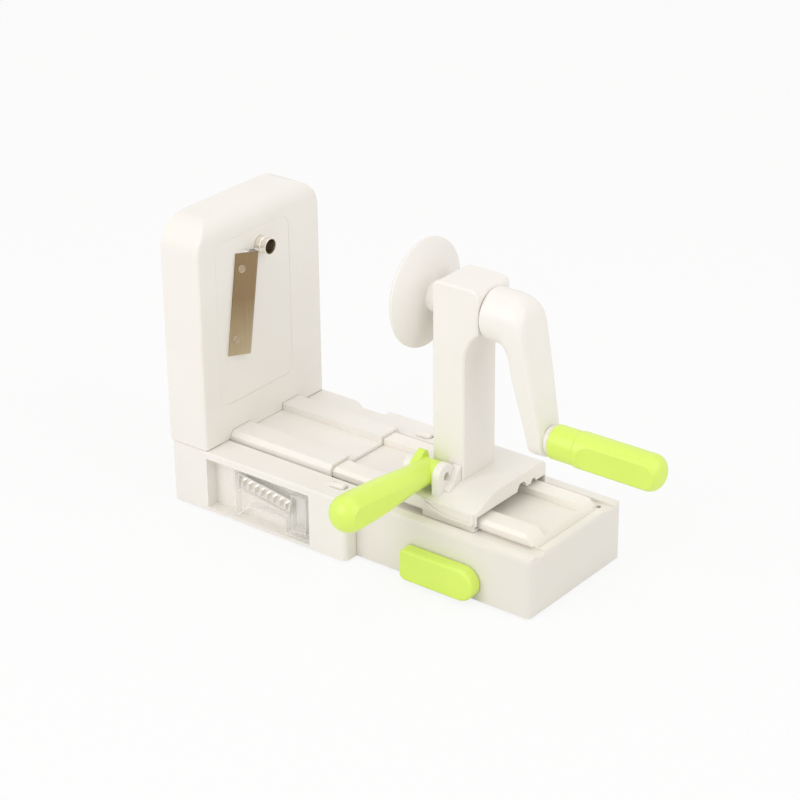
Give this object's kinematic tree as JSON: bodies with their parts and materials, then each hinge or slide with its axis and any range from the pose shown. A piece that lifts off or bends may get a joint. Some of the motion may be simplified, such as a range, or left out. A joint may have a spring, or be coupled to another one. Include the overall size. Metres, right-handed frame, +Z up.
{
  "type": "hand-cranked vegetable spiralizer",
  "caption": "Hand-cranked vegetable spiralizer: blade tower on a telescoping base, sliding crank post with toothed food holder, push handle and suction lever.",
  "frame": {"origin": "middle of the underside of the rubber strip under the blade tower, on the table", "axes": "+X from the blade tower to the crank grip, +Z up, -Y to the side of the push handle"},
  "size_m": [0.3269, 0.1691, 0.1978],
  "materials": {
    "white_plastic": "satin",
    "lime_plastic": "satin",
    "stainless_steel": "satin",
    "clear_plastic": "gloss",
    "grey_rubber": "matte",
    "bush_plastic": "matte"
  },
  "bodies": {
    "blade_unit": {"blade_housing": "white_plastic", "end_foot_strip": "grey_rubber", "side_foot_pads": "grey_rubber", "tower_shell": "white_plastic", "tower_back_cover": "white_plastic", "tower_cover_screws": "stainless_steel", "tower_foot_screws": "stainless_steel"},
    "blade_cassette": {"cassette_frame": "white_plastic", "straight_blade": "stainless_steel", "blade_rivets": "stainless_steel", "coring_tube": "stainless_steel"},
    "spare_carrier": {"spare_blade_carrier": "clear_plastic", "spare_comb_blade": "stainless_steel"},
    "slide_unit": {"slide_base": "white_plastic", "base_cover": "white_plastic", "base_cover_screws": "stainless_steel", "base_feet": "grey_rubber", "suction_cup": "grey_rubber"},
    "stem": {"suction_stem": "white_plastic"},
    "suction_lever": {"suction_camshaft": "white_plastic", "suction_lever_tab": "lime_plastic"},
    "carriage": {"carriage_saddle": "white_plastic", "post_body": "white_plastic", "post_cover": "white_plastic", "post_screws": "stainless_steel", "shaft_bushes": "bush_plastic", "handle_pin": "stainless_steel"},
    "crank": {"food_holder": "white_plastic", "holder_prongs": "white_plastic", "crank_shaft": "stainless_steel", "crank_arm": "white_plastic", "grip_axle": "stainless_steel"},
    "grip": {"crank_grip": "lime_plastic"},
    "handle": {"push_handle": "lime_plastic"}
  },
  "joints": [
    {"name": "base_telescope", "type": "slide", "parent": "blade_unit", "child": "slide_unit", "axis": [-1, 0, 0], "range_m": [0, 0.036]},
    {"name": "carriage_slide", "type": "slide", "parent": "slide_unit", "child": "carriage", "axis": [1, 0, 0], "range_m": [-0.1, 0.025]},
    {"name": "crank_spin", "type": "hinge", "parent": "carriage", "child": "crank", "pos_m": [0.17, 0, 0.164], "axis": [1, 0, 0], "continuous": true},
    {"name": "crank_grip_spin", "type": "hinge", "parent": "crank", "child": "grip", "pos_m": [0.26, 0, 0.094], "axis": [1, 0, 0], "continuous": true},
    {"name": "push_handle_fold", "type": "hinge", "parent": "carriage", "child": "handle", "pos_m": [0.167, -0.0251, 0.0625], "axis": [-1, 0, 0], "range_deg": [0, 60]},
    {"name": "suction_lever_swing", "type": "hinge", "parent": "slide_unit", "child": "suction_lever", "pos_m": [0.2113, 0, 0.0123], "axis": [0, 1, 0], "range_deg": [0, 90]},
    {"name": "suction_stem_lift", "type": "slide", "parent": "slide_unit", "child": "stem", "axis": [0, 0, 1], "range_m": [0, 0.003]},
    {"name": "cassette_release", "type": "slide", "parent": "blade_unit", "child": "blade_cassette", "axis": [1, 0, 0], "range_m": [0, 0.03]},
    {"name": "spare_carrier_release", "type": "slide", "parent": "blade_unit", "child": "spare_carrier", "axis": [0, -1, 0], "range_m": [0, 0.03]}
  ],
  "couplings": [
    {"joint": "suction_stem_lift", "follows": "suction_lever_swing", "m_per_rad": 0.00189}
  ]
}
